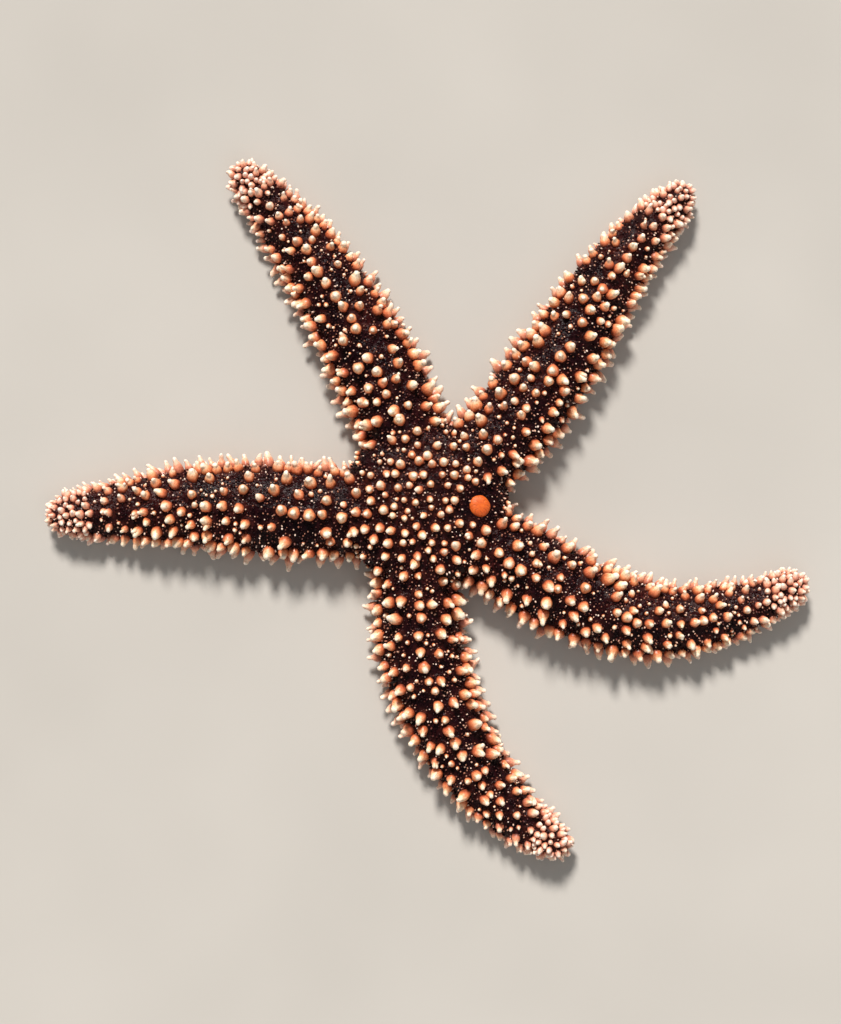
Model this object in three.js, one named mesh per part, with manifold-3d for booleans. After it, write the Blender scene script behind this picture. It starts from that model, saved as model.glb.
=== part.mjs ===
// A starfish lying at rest, life size: a domed disc with the mouth and five grooves below it, five arms
// each in three lengths, and the madreporite. The main spines stand on the skin and are one with it.
// Millimetres, +Z up. The origin is the middle of the footprint, on the floor.
import * as THREE from "three";
import { mergeVertices } from "three/addons/utils/BufferGeometryUtils.js";
import Module from "manifold-3d";

const wasm = await Module();
wasm.setup();

// ---- Driving dimensions, mm ------------------------------------------------

const DISC_CENTRE = [-0.77, 1.42]; // from the middle of the footprint
const GAP = 0.3; // between neighbouring pieces

const DISC_RADIUS = 16.6; // between two arms
const DISC_HEIGHT = 11.8;
const DISC_FALL = 1.8; // how much lower the dome is at its shoulder
const DISC_SHOULDER = 12.4; // radius where the dome turns down
const DISC_MARGIN_HEIGHT = 3.4; // height of the disc's widest line
const DISC_FOOT_RADIUS = 13.6; // of the flat underside
const DISC_SIDES = 30;

const ARM_HALF_WIDTH = 9.0;
const ARM_NARROWING = 0.7; // share of the width lost by the tip
const NARROWING_POWER = 2.4;
const ARM_WAIST = 0.08; // share of the width missing where an arm leaves the disc
const ARM_WAIST_END = 30; // along the arm
const ARM_HEIGHT = 10.4;
const ARM_HEIGHT_LOSS = 0.5; // share of the height lost by the tip
const TIP_ROUND = 4.2; // length of the rounded end
const TIP_RINGS = [0.6, 0.95]; // where the rounded end has sections, as shares of its length
const TIP_END_HEIGHT = 0.35; // height left at the very end, as a share of that before the rounding
const TIP_LIFT = 1.4; // how far the end is held off the floor
const TIP_LIFT_START = 14; // from the end
const MARGIN_SHARE = 0.3; // height of the widest line, as a share of the arm's height
const FLAT_START = 35; // degrees below the widest line where the flat underside starts
const GROOVE_START = 76; // degrees below the widest line where the groove starts
const GROOVE_SHARE = 0.27; // groove depth as a share of the arm's height
const MIDDLE_SHARE = 0.55; // height of the point that closes an arm's section, above its groove

// The lengths of an arm, from the disc's centre, and how many spines stand along each.
const ROOT = { inside: 1, from: 11, steps: 2 }; // the stub that is one with the disc
const LENGTHS = [
  { name: "base", from: 18, steps: 6 },
  { name: "middle", from: 37, steps: 6 },
  { name: "tip", from: 56, steps: 7 },
];

const MOUTH_RADIUS = 3.6;
const MOUTH_DEPTH = 3.2;
const GROOVE_RADIUS = 2.1; // of the grooves in the disc

const MADREPORITE_AT = [10.8, 0.1]; // from the disc's centre
const MADREPORITE_RADIUS = 2.1;
const MADREPORITE_RISE = 0.55;
const MADREPORITE_DEPTH = 0.7;

const SPINE_LENGTH = 2.9;
const SPINE_RADIUS = 1.2;
const SPINE_SINK = 0.6; // how deep the root of a spine on the disc goes into it
const SPINE_ROOM = 2.2; // from a spine's point to another arm's skin
const SIZE_STRAY = 0.14;
const LEAN = 6; // degrees towards the arm's end
const LEAN_STRAY = 8;
const SHRINKING = 0.35; // share by which spines shrink by the arm's end
const TIP_SPINE_SIZE = 0.5;

// Rows of spines along an arm, in degrees from its widest line on the left over the crest, each on its
// own strip.
const STRIP = 17; // degrees
const ROWS = [
  { degrees: 11, size: 1.05, sparse: false },
  { degrees: 37, size: 1.0, sparse: true },
  { degrees: 63, size: 0.94, sparse: true },
  { degrees: 90, size: 0.96, sparse: false },
  { degrees: 117, size: 0.94, sparse: true },
  { degrees: 143, size: 1.0, sparse: true },
  { degrees: 169, size: 1.05, sparse: false },
];

// Spines on the disc stand in a spiral, smallest in the middle.
const DISC_SPINES = 44;
const DISC_SPINE_SPACING = 1.9;
const DISC_SPINE_SIZES = [0.6, 0.9];
const DISC_SPINE_STRAY = 0.35;
const GOLDEN_ANGLE = Math.PI * (3 - Math.sqrt(5));

// Spines in rings round the disc's side, where it shows between two arms.
const SIDE_RINGS = [8, 48]; // degrees up from the disc's widest line
const SIDE_SPINES = 34; // to a whole ring
const SIDE_SPINE_SIZE = 0.9;
const SIDE_SPINE_ROOM = 1.0; // from its root to an arm's skin

// Each arm's centre line from the disc's centre, clockwise from the madreporite, and its girth.
const ARMS = [
  { girth: 0.95, path: [[0, 0], [14.2, -9.1], [29.5, -18.2], [45.9, -23.2], [62.3, -21], [75.5, -15.2]] },
  { girth: 0.96, path: [[0, 0], [-1.5, -14], [-0.2, -31.1], [7.3, -49.2], [17.9, -62.1], [28.3, -68.9]] },
  { girth: 1.03, path: [[0, 0], [-16.6, -1.7], [-43.2, -0.4], [-74.8, -2.1]] },
  { girth: 0.95, path: [[0, 0], [-4.3, 14.7], [-12.2, 31.6], [-23.6, 50.4], [-37.2, 66.8]] },
  { girth: 0.95, path: [[0, 0], [13.9, 12.5], [25.6, 27.5], [37.7, 46.4], [52.1, 62.7]] },
];

// ---- Small helpers ---------------------------------------------------------

const UP = new THREE.Vector3(0, 0, 1);
const radians = THREE.MathUtils.degToRad;
const smoothStep = (from, to, x) => THREE.MathUtils.smoothstep(x, from, to);
const share = (value) => THREE.MathUtils.clamp(value, 0, 1);

function evenSteps(from, to, steps) {
  return Array.from({ length: steps + 1 }, (_, i) => from + ((to - from) * i) / steps);
}

// A repeatable number from -1 to 1.
function stray(seed) {
  const x = Math.sin(seed * 12.9898 + 78.233) * 43758.5453;
  return 2 * (x - Math.floor(x)) - 1;
}

function solidOf(geometry) {
  const bare = geometry.clone();
  bare.deleteAttribute("normal");
  bare.deleteAttribute("uv");
  const merged = mergeVertices(bare, 1e-4);
  return new wasm.Manifold(
    new wasm.Mesh({
      numProp: 3,
      vertProperties: new Float32Array(merged.attributes.position.array),
      triVerts: new Uint32Array(merged.index.array),
    }),
  );
}

function meshOf(solid, name, material) {
  const { vertProperties, triVerts } = solid.getMesh();
  const geometry = new THREE.BufferGeometry();
  geometry.setAttribute("position", new THREE.BufferAttribute(vertProperties, 3));
  geometry.setIndex(new THREE.BufferAttribute(triVerts, 1));
  geometry.computeVertexNormals();
  const mesh = new THREE.Mesh(geometry, material);
  mesh.name = name;
  return mesh;
}

// Joins rings of points, all with the same count, into one closed surface with a middle point at each
// end. A cell between two rings is flat, or rises to the point that pointOver gives for it.
function loft(rings, startPoint, endPoint, pointOver) {
  const count = rings[0].length;
  const points = [startPoint, ...rings.flat(), endPoint];
  const endIndex = points.length - 1;
  const index = [];
  const at = (ring, i) => 1 + ring * count + (i % count);
  for (let i = 0; i < count; i++) {
    index.push(0, at(0, i + 1), at(0, i));
    index.push(endIndex, at(rings.length - 1, i), at(rings.length - 1, i + 1));
    for (let ring = 0; ring + 1 < rings.length; ring++) {
      const corners = [at(ring, i), at(ring, i + 1), at(ring + 1, i + 1), at(ring + 1, i)];
      const point = pointOver(ring, i);
      if (!point) {
        index.push(corners[0], corners[1], corners[2], corners[0], corners[2], corners[3]);
        continue;
      }
      points.push(point);
      corners.forEach((corner, side) => index.push(corner, corners[(side + 1) % 4], points.length - 1));
    }
  }
  const geometry = new THREE.BufferGeometry().setFromPoints(points);
  geometry.setIndex(index);
  return geometry;
}

// ---- Arms ------------------------------------------------------------------

// The two edges of each row's strip, then the underside with its groove. Even places start a strip.
const SECTION_DEGREES = [
  ...ROWS.flatMap(({ degrees }) => [degrees - STRIP / 2, degrees + STRIP / 2]),
  ...[FLAT_START, GROOVE_START, 90, 180 - GROOVE_START, 180 - FLAT_START].map((below) => 180 + below),
];

function makeArm({ girth, path }, index) {
  const points = path.map(([x, y]) => new THREE.Vector3(x, y, 0));
  const curve = new THREE.CatmullRomCurve3(points, false, "catmullrom", 0.5);
  return { number: index + 1, girth, curve, length: curve.getLength() };
}

const centreAt = (arm, along) => arm.curve.getPointAt(share(along / arm.length));
const headingAt = (arm, along) => arm.curve.getTangentAt(share(along / arm.length));

// Half width, height and lift off the floor at a distance along the arm.
function girthAt(arm, along) {
  const gone = along / arm.length;
  const intoTip = Math.max(0, along - (arm.length - TIP_ROUND)) / TIP_ROUND;
  const rounding = Math.sqrt(Math.max(0, 1 - intoTip ** 2));
  const waist = 1 - ARM_WAIST * (1 - smoothStep(LENGTHS[0].from, ARM_WAIST_END, along));
  const lifting = Math.max(0, along - (arm.length - TIP_LIFT_START)) / TIP_LIFT_START;
  const lowering = TIP_END_HEIGHT + (1 - TIP_END_HEIGHT) * rounding;
  return {
    half: ARM_HALF_WIDTH * arm.girth * (1 - ARM_NARROWING * gone ** NARROWING_POWER) * waist * rounding,
    height: ARM_HEIGHT * (1 - ARM_HEIGHT_LOSS * gone ** 1.7) * lowering,
    lift: TIP_LIFT * lifting ** 2,
  };
}

// How far out and how high the skin is. 0 degrees is the widest line on the left of the way out and 90
// is the crest.
function sectionPoint({ half, height, lift }, degrees) {
  const sine = Math.sin(radians(degrees));
  const across = half * Math.cos(radians(degrees));
  const margin = MARGIN_SHARE * height;
  if (sine >= 0) return [across, lift + margin + (height - margin) * sine];
  const tuck = Math.min(1, -sine / Math.sin(radians(FLAT_START)));
  const grooveStart = Math.sin(radians(GROOVE_START));
  const groove = Math.max(0, -sine - grooveStart) / (1 - grooveStart);
  return [across, lift + margin * (1 - tuck) + GROOVE_SHARE * height * Math.sqrt(groove)];
}

function skinPoint(arm, along, degrees) {
  const left = new THREE.Vector3().crossVectors(UP, headingAt(arm, along));
  const [across, height] = sectionPoint(girthAt(arm, along), degrees);
  return centreAt(arm, along).addScaledVector(left, across).addScaledVector(UP, height);
}

function skinNormal(arm, along, degrees) {
  const round = skinPoint(arm, along, degrees + 1).sub(skinPoint(arm, along, degrees - 1));
  const step = 0.2;
  const onward = skinPoint(arm, along + step, degrees).sub(skinPoint(arm, along - step, degrees));
  return round.cross(onward).normalize();
}

function ringMiddle(arm, along) {
  const { height, lift } = girthAt(arm, along);
  return centreAt(arm, along).setZ(lift + MIDDLE_SHARE * height);
}

// How far a point is outside the sides of an arm's inner half, seen from above.
function outsideArm(arm, point) {
  const distances = evenSteps(0, arm.length / 2, 20).map((along) => {
    const centre = centreAt(arm, along);
    return Math.hypot(point.x - centre.x, point.y - centre.y) - girthAt(arm, along).half;
  });
  return Math.min(...distances);
}

// The point of the spine on a row between two sections of an arm, or nothing where it would crowd
// another arm.
function spinePoint(arm, row, from, to) {
  const along = (from + to) / 2;
  const seed = arm.number * 1000 + row.degrees * 3 + along;
  const outward = 1 - SHRINKING * (along / arm.length) ** 2.5;
  const grown = along > arm.length - TIP_ROUND ? TIP_SPINE_SIZE : outward;
  const length = SPINE_LENGTH * row.size * grown * (1 + SIZE_STRAY * stray(seed));
  const lean = Math.sin(radians(LEAN + LEAN_STRAY * stray(seed + 0.5)));
  const direction = skinNormal(arm, along, row.degrees).addScaledVector(headingAt(arm, along), lean);
  const point = skinPoint(arm, along, row.degrees).addScaledVector(direction.normalize(), length);
  const hasRoom = arms.every((other) => other === arm || outsideArm(other, point) > SPINE_ROOM);
  return hasRoom ? point : null;
}

// A stretch of an arm with its spines. The stretch that reaches the arm's end is rounded off there.
function armStretch(arm, stations, everyRow) {
  const rings = stations.map((along) => SECTION_DEGREES.map((degrees) => skinPoint(arm, along, degrees)));
  const pointOver = (ring, i) => {
    const rowNumber = i / 2;
    if (i % 2 || rowNumber >= ROWS.length) return null;
    const row = ROWS[rowNumber];
    if (row.sparse && !everyRow && (ring + rowNumber) % 2) return null;
    return spinePoint(arm, row, stations[ring], stations[ring + 1]);
  };
  const [start, end] = [stations[0], stations.at(-1)].map((along) => ringMiddle(arm, along));
  return solidOf(loft(rings, start, end, pointOver));
}

function armGroup(arm) {
  const group = new THREE.Group();
  LENGTHS.forEach(({ name, from, steps }, i) => {
    const isTip = i + 1 === LENGTHS.length;
    const roundStart = arm.length - TIP_ROUND;
    const stations = evenSteps(from, isTip ? roundStart : LENGTHS[i + 1].from - GAP, steps);
    if (isTip) stations.push(...TIP_RINGS.map((gone) => roundStart + gone * TIP_ROUND));
    group.add(meshOf(armStretch(arm, stations, isTip), `arm_${arm.number}_${name}`, skinMaterial));
  });
  return group;
}

// ---- Disc ------------------------------------------------------------------

const domeHeight = (radius) => DISC_HEIGHT - DISC_FALL * (radius / DISC_SHOULDER) ** 2;
const onDome = (x, y) => new THREE.Vector3(x, y, domeHeight(Math.hypot(x, y)));

function domeNormal(x, y) {
  const slope = (2 * DISC_FALL) / DISC_SHOULDER ** 2;
  return new THREE.Vector3(x * slope, y * slope, 1).normalize();
}

function turnedTo(geometry, direction, place) {
  const turn = new THREE.Quaternion().setFromUnitVectors(new THREE.Vector3(0, 1, 0), direction);
  return geometry.applyQuaternion(turn).translate(place.x, place.y, place.z);
}

// Radius and height on the round of the disc's side, in degrees up from its widest line.
function discSide(degrees) {
  return [
    DISC_SHOULDER + (DISC_RADIUS - DISC_SHOULDER) * Math.cos(radians(degrees)),
    DISC_MARGIN_HEIGHT + (domeHeight(DISC_SHOULDER) - DISC_MARGIN_HEIGHT) * Math.sin(radians(degrees)),
  ];
}

function discDome() {
  const profile = [
    [0, 0],
    [DISC_FOOT_RADIUS, 0],
    [DISC_RADIUS, DISC_MARGIN_HEIGHT],
  ];
  for (const degrees of [35, 65]) profile.push(discSide(degrees));
  for (const radius of [DISC_SHOULDER, DISC_SHOULDER / 2, 0]) profile.push([radius, domeHeight(radius)]);
  const outline = profile.map(([radius, height]) => new THREE.Vector2(radius, height));
  return solidOf(new THREE.LatheGeometry(outline, DISC_SIDES).rotateX(Math.PI / 2));
}

// A stub of each arm, which the disc joins to the arm's base.
function armRoot(arm) {
  const stations = [ROOT.inside, ...evenSteps(ROOT.from, LENGTHS[0].from - GAP, ROOT.steps)];
  return armStretch(arm, stations, false);
}

function coneSpine(root, direction, size) {
  const height = SPINE_LENGTH * size + SPINE_SINK;
  const cone = new THREE.ConeGeometry(SPINE_RADIUS * size, height, 4);
  cone.translate(0, height / 2 - SPINE_SINK, 0);
  return solidOf(turnedTo(cone, direction, root));
}

function topSpines() {
  const spines = [];
  for (let n = 0; n < DISC_SPINES; n++) {
    const radius = DISC_SPINE_SPACING * Math.sqrt(n + 0.4);
    const x = radius * Math.cos(n * GOLDEN_ANGLE) + DISC_SPINE_STRAY * stray(n + 0.1);
    const y = radius * Math.sin(n * GOLDEN_ANGLE) + DISC_SPINE_STRAY * stray(n + 0.4);
    const fromMadreporite = Math.hypot(x - MADREPORITE_AT[0], y - MADREPORITE_AT[1]);
    const grown = THREE.MathUtils.lerp(...DISC_SPINE_SIZES, radius / DISC_SHOULDER);
    const size = grown * (1 + SIZE_STRAY * stray(n + 0.7));
    if (fromMadreporite < MADREPORITE_RADIUS + GAP + SPINE_RADIUS * size) continue;
    spines.push(coneSpine(onDome(x, y), domeNormal(x, y), size));
  }
  return spines;
}

function sideSpines() {
  const spines = [];
  SIDE_RINGS.forEach((degrees, ring) => {
    const [radius, height] = discSide(degrees);
    for (let n = 0; n < SIDE_SPINES; n++) {
      const turn = (2 * Math.PI * (n + ring / 2)) / SIDE_SPINES;
      const out = new THREE.Vector3(Math.cos(turn), Math.sin(turn), 0);
      const root = out.clone().multiplyScalar(radius).setZ(height);
      if (arms.some((arm) => outsideArm(arm, root) < SIDE_SPINE_ROOM)) continue;
      const direction = out.multiplyScalar(Math.cos(radians(degrees))).setZ(Math.sin(radians(degrees)));
      spines.push(coneSpine(root, direction, SIDE_SPINE_SIZE * (1 + SIZE_STRAY * stray(ring * 100 + n))));
    }
  });
  return spines;
}

// The mouth and the grooves that run from it under the arms.
function mouthAndGrooves() {
  const mouth = new THREE.SphereGeometry(1, 12, 8).scale(MOUTH_RADIUS, MOUTH_RADIUS, MOUTH_DEPTH);
  const grooves = arms.map((arm) => {
    const end = centreAt(arm, LENGTHS[0].from);
    const length = end.length() + 2;
    const groove = new THREE.CylinderGeometry(GROOVE_RADIUS, GROOVE_RADIUS, length, 8);
    groove.translate(0, length / 2, 0).rotateZ(Math.atan2(end.y, end.x) - Math.PI / 2);
    return solidOf(groove);
  });
  return [solidOf(mouth), ...grooves];
}

function discMesh() {
  const pieces = [...arms.map(armRoot), ...topSpines(), ...sideSpines()];
  const joined = pieces.reduce((solid, piece) => solid.add(piece), discDome());
  const cuts = [...mouthAndGrooves(), madreporitePocket()];
  return meshOf(cuts.reduce((solid, cut) => solid.subtract(cut), joined), "disc", skinMaterial);
}

// ---- Madreporite -----------------------------------------------------------

function madreporiteMesh() {
  const profile = [
    [0, -MADREPORITE_DEPTH],
    [MADREPORITE_RADIUS * 0.95, -MADREPORITE_DEPTH],
    [MADREPORITE_RADIUS, 0],
    [MADREPORITE_RADIUS * 0.8, MADREPORITE_RISE * 0.7],
    [MADREPORITE_RADIUS * 0.4, MADREPORITE_RISE * 0.97],
    [0, MADREPORITE_RISE],
  ];
  const outline = profile.map(([radius, height]) => new THREE.Vector2(radius, height));
  const button = new THREE.LatheGeometry(outline, 16);
  const placed = turnedTo(button, domeNormal(...MADREPORITE_AT), onDome(...MADREPORITE_AT));
  return meshOf(solidOf(placed), "madreporite", madreporiteMaterial);
}

function madreporitePocket() {
  const radius = MADREPORITE_RADIUS + GAP;
  const bottom = -MADREPORITE_DEPTH - GAP;
  const top = 2; // clear of the dome
  const cutter = new THREE.CylinderGeometry(radius, radius, top - bottom, 16);
  cutter.translate(0, (top + bottom) / 2, 0);
  return solidOf(turnedTo(cutter, domeNormal(...MADREPORITE_AT), onDome(...MADREPORITE_AT)));
}

// ---- Assembly --------------------------------------------------------------

const skinMaterial = new THREE.MeshStandardMaterial({ color: 0x3a2328, roughness: 0.45, metalness: 0 });
const madreporiteMaterial = new THREE.MeshStandardMaterial({
  color: 0xe0641c,
  roughness: 0.4,
  metalness: 0,
});

const arms = ARMS.map(makeArm);

const starfish = new THREE.Group();
starfish.position.set(DISC_CENTRE[0], DISC_CENTRE[1], 0);
starfish.add(discMesh(), madreporiteMesh(), ...arms.map(armGroup));

export default starfish;
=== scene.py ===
"""A Forbes sea star at life size on a plain floor: skin, spines, pincers, gills, tube feet and sieve plate.

Lengths are in millimetres until a mesh is made, and angles round an arm are in degrees: 0 is the
widest line on the left of the way out, 90 is the crest and 270 is the middle of the underside.
"""

from itertools import product

import bpy
import numpy as np
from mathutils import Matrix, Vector, noise
from mathutils.bvhtree import BVHTree
from numpy.linalg import norm


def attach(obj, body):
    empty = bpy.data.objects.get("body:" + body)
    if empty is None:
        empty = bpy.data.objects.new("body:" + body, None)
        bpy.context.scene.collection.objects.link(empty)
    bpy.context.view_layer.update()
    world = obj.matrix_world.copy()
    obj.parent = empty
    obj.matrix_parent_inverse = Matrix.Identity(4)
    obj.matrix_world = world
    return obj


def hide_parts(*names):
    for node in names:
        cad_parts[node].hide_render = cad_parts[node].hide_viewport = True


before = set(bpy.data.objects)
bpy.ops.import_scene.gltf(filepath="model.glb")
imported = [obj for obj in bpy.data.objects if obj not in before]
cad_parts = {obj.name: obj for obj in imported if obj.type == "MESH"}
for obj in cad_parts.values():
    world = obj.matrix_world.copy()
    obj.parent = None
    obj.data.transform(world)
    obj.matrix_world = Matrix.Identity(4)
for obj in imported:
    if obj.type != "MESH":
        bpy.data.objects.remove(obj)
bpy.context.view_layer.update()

MM = 0.001
SEED = 1565

# The body, as the frame's solids have it.
DISC_CENTRE = np.array([-0.77, 1.42, 0.0])
DISC_RADIUS = 16.6
DISC_HEIGHT = 11.8
DISC_FALL = 1.8
DISC_SHOULDER = 12.4
DISC_MARGIN_HEIGHT = 3.4
ARM_HALF_WIDTH = 9.0
ARM_NARROWING = 0.7
NARROWING_POWER = 2.4
ARM_WAIST = 0.08
ARM_WAIST_FROM = 18.0
ARM_WAIST_END = 30.0
ARM_HEIGHT = 10.4
ARM_HEIGHT_LOSS = 0.5
HEIGHT_POWER = 1.7
TIP_ROUND = 4.2
TIP_END_HEIGHT = 0.35
TIP_LIFT = 1.4
TIP_LIFT_START = 14.0
MARGIN_SHARE = 0.3
ARM_GIRTHS = [0.95, 0.96, 1.03, 0.95, 0.95]
ARM_PATHS = [
    [[0, 0], [14.2, -9.1], [29.5, -18.2], [45.9, -23.2], [62.3, -21], [75.5, -15.2]],
    [[0, 0], [-1.5, -14], [-0.2, -31.1], [7.3, -49.2], [17.9, -62.1], [28.3, -68.9]],
    [[0, 0], [-16.6, -1.7], [-43.2, -0.4], [-74.8, -2.1]],
    [[0, 0], [-4.3, 14.7], [-12.2, 31.6], [-23.6, 50.4], [-37.2, 66.8]],
    [[0, 0], [13.9, 12.5], [25.6, 27.5], [37.7, 46.4], [52.1, 62.7]],
]

# The underside, which the short spines and tube feet hold clear of the floor.
UNDERSIDE_SHARE = 0.35
TUCK_DEGREES = 35.0
GROOVE_HALF_WIDTH = 2.1
GROOVE_DEPTH = 2.4
MOUTH_RADIUS = 3.4
MOUTH_DEPTH = 3.2
UNDER_SLOPE = -0.3
UNDER_HEIGHT = 4.5
GROOVE_NARROWING = 0.45
GROOVE_WALL = (0.55, 1.15)
MOUTH_WALL = (-1.2, 0.8)

# The skin.
VOXEL = 0.45
SMOOTHING_ROUNDS = 3
PAD_HEIGHT = 0.32
PAD_REACH = 1.7
# Lumps of the skin: wavelength and depth.
BUMPS = [(2.6, 0.16), (1.25, 0.15), (0.8, 0.06)]

# The closed tubes that the skin is made from.
RING_SIDES = 90
ARM_RINGS = 150
TIP_RINGS = 18
TIP_CLOSING = 0.9995
SHOULDER_RINGS = 14
DOME_RINGS = 12
DISC_HUB = 0.3
DISC_FOOT_INSET = 3.0

# How finely the arms' centre lines are searched, how many places are compared with them at once, and
# how far each way a slope is taken.
MARK_STEP = 0.4
BATCH = 2000
SLOPE_STEP = 0.2


def lerp(a, b, t):
    return a + (b - a) * t


def ease(low, high, x):
    """A smooth step from 0 at low to 1 at high."""
    t = np.clip((x - low) / (high - low), 0.0, 1.0)
    return t * t * (3.0 - 2.0 * t)


def batches(count):
    return [slice(start, start + BATCH) for start in range(0, count, BATCH)]


def unit(vectors):
    size = norm(vectors, axis=-1, keepdims=True)
    return vectors / np.maximum(size, 1e-9)


def smooth_path(points, steps=40):
    """A uniform Catmull-Rom curve through the points, sampled finely."""
    points = np.asarray(points, float)
    p = np.vstack([2 * points[0] - points[1], points, 2 * points[-1] - points[-2]])
    slopes = 0.5 * (p[2:] - p[:-2])
    t = np.linspace(0, 1, steps, endpoint=False)[:, None]
    spans = []
    for here, there, start, end in zip(points, points[1:], slopes, slopes[1:]):
        square = -3 * here + 3 * there - 2 * start - end
        cube = 2 * here - 2 * there + start + end
        spans.append(here + start * t + square * t**2 + cube * t**3)
    return np.vstack([*spans, points[-1:]])


class Arm:
    """An arm's centre line over the floor, and its width and height along it."""

    def __init__(self, girth, path):
        self.girth = girth
        self.line = smooth_path(path) + DISC_CENTRE[:2]
        steps = norm(np.diff(self.line, axis=0), axis=1)
        self.reach = np.concatenate([[0.0], np.cumsum(steps)])
        self.length = self.reach[-1]

    def centre(self, along):
        x = np.interp(along, self.reach, self.line[:, 0])
        y = np.interp(along, self.reach, self.line[:, 1])
        return np.stack([x, y, np.zeros_like(x)], axis=-1)

    def heading(self, along):
        return unit(self.centre(along + SLOPE_STEP) - self.centre(along - SLOPE_STEP))

    def left(self, along):
        ahead = self.heading(along)
        return np.stack([-ahead[..., 1], ahead[..., 0], ahead[..., 2]], axis=-1)

    def beside(self, along, across):
        """A place on the floor, so far to the left of the centre line."""
        return self.centre(along) + self.left(along) * across[..., None]

    def girth_at(self, along):
        """Half width, height and lift off the floor."""
        gone = along / self.length
        into_tip = np.clip((along - (self.length - TIP_ROUND)) / TIP_ROUND, 0, 1)
        rounding = np.sqrt(1 - into_tip**2)
        waist = 1 - ARM_WAIST * (1 - ease(ARM_WAIST_FROM, ARM_WAIST_END, along))
        half = ARM_HALF_WIDTH * self.girth * (1 - ARM_NARROWING * gone**NARROWING_POWER) * waist * rounding
        lowering = TIP_END_HEIGHT + (1 - TIP_END_HEIGHT) * rounding
        height = ARM_HEIGHT * (1 - ARM_HEIGHT_LOSS * gone**HEIGHT_POWER) * lowering
        lifting = np.clip((along - (self.length - TIP_LIFT_START)) / TIP_LIFT_START, 0, 1)
        return half, height, TIP_LIFT * lifting**2

    def surface(self, along, degrees):
        """A point of the flesh."""
        half, height, lift = self.girth_at(along)
        sine = np.sin(np.radians(degrees))
        across = half * np.cos(np.radians(degrees))
        margin = MARGIN_SHARE * height
        tuck = ease(0, np.sin(np.radians(TUCK_DEGREES)), -sine)
        above = margin + (height - margin) * sine
        below = lerp(margin, UNDERSIDE_SHARE * margin, tuck)
        up = lift + np.where(sine >= 0, above, below)
        point = self.beside(along, across)
        point[..., 2] = up
        return point

    def outward(self, along, degrees):
        """The flesh's normal."""
        around = self.surface(along, degrees + 1) - self.surface(along, degrees - 1)
        ahead, behind = (self.surface(along + step, degrees) for step in (SLOPE_STEP, -SLOPE_STEP))
        return unit(np.cross(around, ahead - behind))


ARMS = [Arm(girth, path) for girth, path in zip(ARM_GIRTHS, ARM_PATHS)]
ARM_LENGTHS = np.array([arm.length for arm in ARMS])


def locate(points):
    """For each point the arm it lies on, how far out, how far to the left, and the angle round the arm."""
    marks = [np.arange(0, arm.length, MARK_STEP) for arm in ARMS]
    spots = np.vstack([arm.centre(along)[:, :2] for arm, along in zip(ARMS, marks)])
    nearest = np.empty(len(points), int)
    for part in batches(len(points)):
        nearest[part] = norm(points[part, None, :2] - spots[None], axis=2).argmin(axis=1)
    arm_of = np.repeat(np.arange(len(ARMS)), [len(along) for along in marks])[nearest]
    along = np.concatenate(marks)[nearest]
    across, angle = np.zeros((2, len(points)))
    for number, arm in enumerate(ARMS):
        mine = arm_of == number
        offset = points[mine, :2] - arm.centre(along[mine])[:, :2]
        across[mine] = (offset * arm.left(along[mine])[:, :2]).sum(axis=1)
        _, height, lift = arm.girth_at(along[mine])
        up = points[mine, 2] - lift - MARGIN_SHARE * height
        angle[mine] = np.degrees(np.arctan2(up, across[mine]))
    return arm_of, along, across, angle


# ---------------- meshes


def add_object(name, data):
    made = bpy.data.objects.new(name, data)
    bpy.context.scene.collection.objects.link(made)
    return made


def make_object(name, points, loops, totals):
    """A mesh object from points in millimetres and faces given as corner numbers and corner counts."""
    mesh = bpy.data.meshes.new(name)
    totals = np.asarray(totals, np.int32)
    starts = np.concatenate([[0], np.cumsum(totals)[:-1]]).astype(np.int32)
    mesh.vertices.add(len(points))
    mesh.vertices.foreach_set("co", (np.asarray(points) * MM).astype(np.float32).ravel())
    mesh.loops.add(len(loops))
    mesh.loops.foreach_set("vertex_index", np.asarray(loops, np.int32))
    mesh.polygons.add(len(totals))
    mesh.polygons.foreach_set("loop_start", starts)
    mesh.polygons.foreach_set("loop_total", totals)
    mesh.polygons.foreach_set("use_smooth", np.ones(len(totals), bool))
    mesh.update(calc_edges=True)
    mesh.validate()
    return add_object(name, mesh)


def add_values(made, **values):
    """Stores one number per vertex under each name."""
    for name, numbers in values.items():
        layer = made.data.attributes.new(name, "FLOAT", "POINT")
        layer.data.foreach_set("value", np.asarray(numbers, np.float32))


def quads_between(rows, columns):
    """The corners of the faces between rings of points."""
    column = np.arange(columns)
    following = (column + 1) % columns
    low = np.arange(rows - 1)[:, None] * columns
    high = low + columns
    return np.stack([low + column, low + following, high + following, high + column], axis=-1).ravel()


def tube_faces(rows, columns):
    """Faces of a tube of rows by columns points, with both ends closed."""
    column = np.arange(columns)
    loops = np.concatenate([quads_between(rows, columns), column[::-1], (rows - 1) * columns + column])
    return loops, np.concatenate([np.full((rows - 1) * columns, 4), [columns, columns]])


def turned(radius, height, sides):
    """Rings of points: a profile turned round the vertical."""
    spin = 2 * np.pi * np.arange(sides) / sides
    x, y = radius[:, None] * np.cos(spin), radius[:, None] * np.sin(spin)
    return np.stack([x, y, np.broadcast_to(height[:, None], x.shape)], axis=-1).reshape(-1, 3)


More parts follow.
